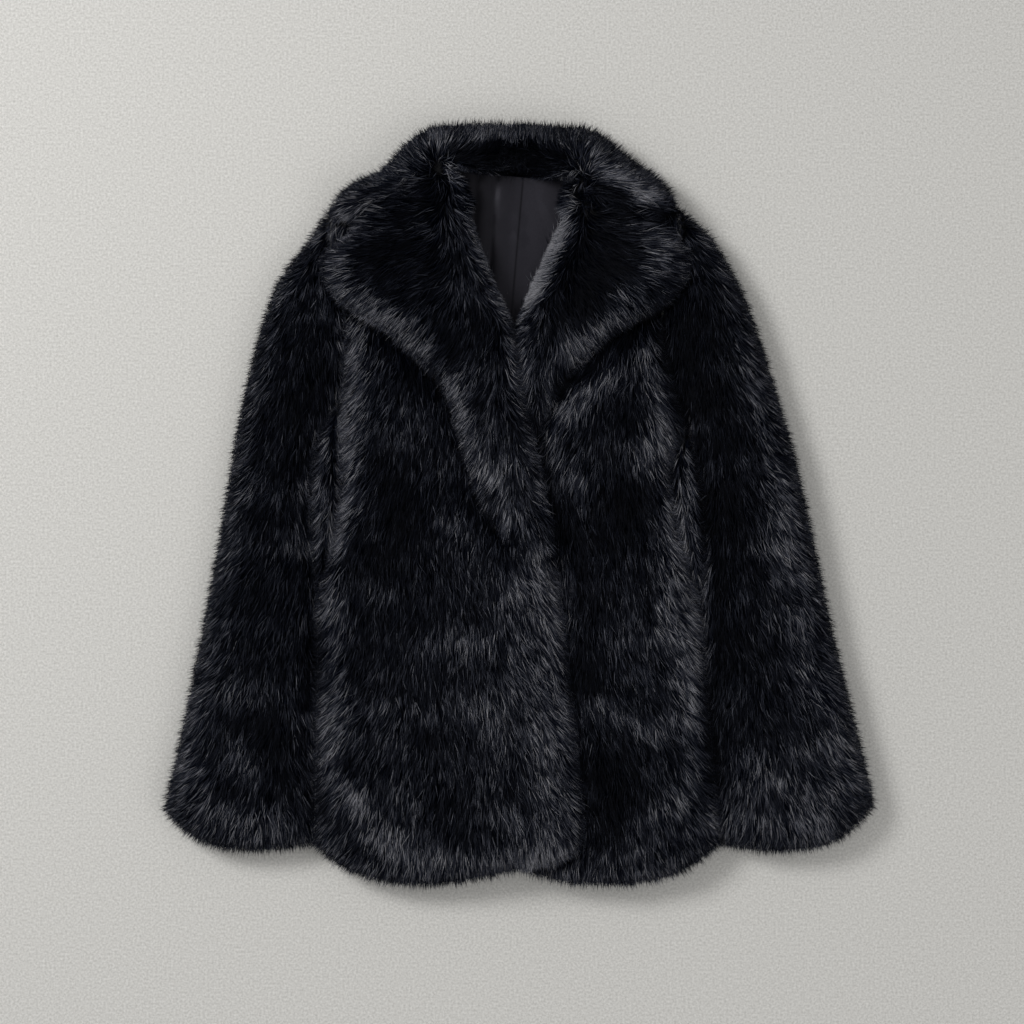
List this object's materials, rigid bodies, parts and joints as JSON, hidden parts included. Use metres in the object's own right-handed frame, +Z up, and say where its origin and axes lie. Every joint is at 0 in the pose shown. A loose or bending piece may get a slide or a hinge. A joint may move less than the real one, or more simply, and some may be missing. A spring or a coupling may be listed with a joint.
{
  "type": "faux-fur coat laid flat",
  "caption": "Long-pile faux-fur coat laid flat on its back: notched collar and lapels, lapped fronts, straight set-in sleeves and in-seam side pockets.",
  "frame": {"origin": "on the surface that the coat lies on, under the middle of its bounding box", "axes": "+Z up from the surface, +Y from the hem towards the collar, -X towards the wearer's right side"},
  "size_m": [0.7426, 0.7961, 0.0603],
  "materials": {
    "fur": "long lying pile, soft grey sheen",
    "satin": "smooth satin weave"
  },
  "bodies": {
    "root": {"back": "fur", "front_right": "fur", "front_left": "fur", "sleeve_right": "fur", "sleeve_left": "fur", "pocket_right": "fur", "pocket_left": "fur", "collar": "fur", "lapel_right": "fur", "lapel_left": "fur", "lining": "satin"}
  },
  "joints": []
}
